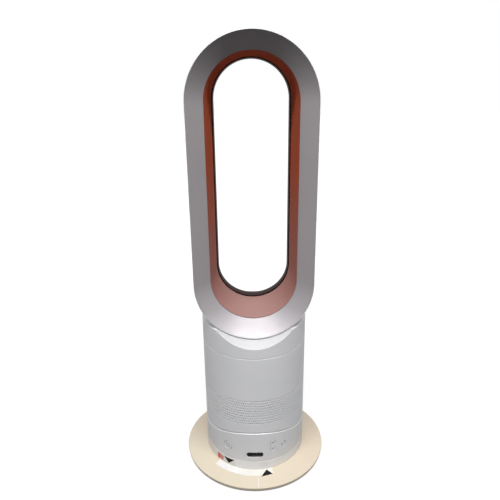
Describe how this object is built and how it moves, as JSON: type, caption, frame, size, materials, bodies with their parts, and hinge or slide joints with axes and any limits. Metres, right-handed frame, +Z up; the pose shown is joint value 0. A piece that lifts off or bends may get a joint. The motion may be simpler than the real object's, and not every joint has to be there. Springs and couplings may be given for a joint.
{
  "type": "bladeless fan",
  "caption": "Bladeless fan: a racetrack-shaped air loop on a round body that tilts and oscillates over a wide flat base.",
  "frame": {"origin": "middle of the underside, on the surface that the feet stand on", "axes": "+Z up, -Y to the front where the bevel, display and buttons face, +X to the right seen from the front"},
  "size_m": [0.2028, 0.2028, 0.579],
  "materials": {
    "silver_shell": "metallic silver lacquer, glossy",
    "copper_wall": "metallic copper lacquer, glossy",
    "base_cream": "pale silver cream lacquer",
    "dark_plastic": "dark, satin",
    "black_window": "black, polished",
    "grey_plastic": "moulded grey",
    "white_plastic": "moulded white",
    "black_rubber": "matt",
    "steel": "plain",
    "aluminium_fins": "plain",
    "circuit_board": "green board",
    "motor_core": "wound steel core"
  },
  "bodies": {
    "base": {"base_plate": "base_cream", "base_collar": "silver_shell", "base_tray": "grey_plastic", "rubber_foot_1": "black_rubber", "rubber_foot_2": "black_rubber", "rubber_foot_3": "black_rubber", "rubber_foot_4": "black_rubber", "fixed_gear": "white_plastic", "slide_bearing_ring": "white_plastic", "cord_inlet": "black_rubber", "base_screw_1": "steel", "base_screw_2": "steel", "base_screw_3": "steel"},
    "lower_body": {"lower_body_casing": "silver_shell", "turntable_floor": "grey_plastic", "spindle_retaining_ring": "steel", "floor_screw_1": "steel", "floor_screw_2": "steel", "floor_screw_3": "steel", "oscillation_motor": "steel", "display_window": "black_window", "digit_display": "dark_plastic", "display_board": "circuit_board", "switch_board_left": "circuit_board", "switch_board_right": "circuit_board", "control_board": "circuit_board", "tilt_rail_left": "white_plastic", "tilt_rail_right": "white_plastic"},
    "drive_pinion": {"drive_pinion": "white_plastic"},
    "power_button": {"power_button": "silver_shell"},
    "temperature_up_button": {"temperature_up_button": "silver_shell"},
    "temperature_down_button": {"temperature_down_button": "silver_shell"},
    "oscillation_button": {"oscillation_button": "silver_shell"},
    "main_body": {"main_body_casing": "silver_shell", "main_body_tray": "grey_plastic", "housing_support_1": "black_rubber", "housing_support_2": "black_rubber", "housing_support_3": "black_rubber", "inlet_member": "white_plastic", "impeller_housing": "white_plastic", "lip_seal": "black_rubber", "motor_bearing_lower": "steel", "motor_bearing_upper": "steel", "motor_stator": "motor_core", "motor_sleeve": "black_rubber", "motor_bucket_lower": "white_plastic", "motor_bucket_upper": "white_plastic", "coupling_ring": "grey_plastic", "neck_seal": "black_rubber", "loop_neck": "silver_shell", "loop_outer_casing": "silver_shell", "loop_front_bevel": "silver_shell", "loop_inner_duct": "copper_wall", "loop_outlet_lip": "dark_plastic", "heater_frame_left": "white_plastic", "heater_frame_right": "white_plastic", "heater_stack_left": "aluminium_fins", "heater_stack_right": "aluminium_fins"},
    "impeller": {"impeller": "grey_plastic", "motor_rotor": "steel"}
  },
  "joints": [
    {"name": "oscillation", "type": "hinge", "parent": "base", "child": "lower_body", "pos_m": [0, 0, 0.025], "axis": [0, 0, 1], "range_deg": [-35, 35]},
    {"name": "pinion_spin", "type": "hinge", "parent": "lower_body", "child": "drive_pinion", "pos_m": [0.0315, 0, 0.0163], "axis": [0, 0, 1], "range_deg": [-90, 90]},
    {"name": "tilt", "type": "hinge", "parent": "lower_body", "child": "main_body", "pos_m": [0, 0, 0.222], "axis": [1, 0, 0], "range_deg": [-10, 10]},
    {"name": "impeller_spin", "type": "hinge", "parent": "main_body", "child": "impeller", "pos_m": [0, 0, 0.11], "axis": [0, 0, 1], "continuous": true},
    {"name": "power_button_press", "type": "slide", "parent": "lower_body", "child": "power_button", "axis": [0.5446, 0.8387, 0], "range_m": [0, 0.0008], "stiffness_N_per_m": 500, "springref_m": -0.0004},
    {"name": "temperature_up_button_press", "type": "slide", "parent": "lower_body", "child": "temperature_up_button", "axis": [-0.3305, 0.9438, 0], "range_m": [0, 0.0008], "stiffness_N_per_m": 500, "springref_m": -0.0004},
    {"name": "temperature_down_button_press", "type": "slide", "parent": "lower_body", "child": "temperature_down_button", "axis": [-0.3305, 0.9438, 0], "range_m": [0, 0.0008], "stiffness_N_per_m": 500, "springref_m": -0.0004},
    {"name": "oscillation_button_press", "type": "slide", "parent": "lower_body", "child": "oscillation_button", "axis": [-0.5446, 0.8387, 0], "range_m": [0, 0.0008], "stiffness_N_per_m": 500, "springref_m": -0.0004}
  ],
  "couplings": [
    {"joint": "pinion_spin", "follows": "oscillation", "ratio": 2.5}
  ]
}
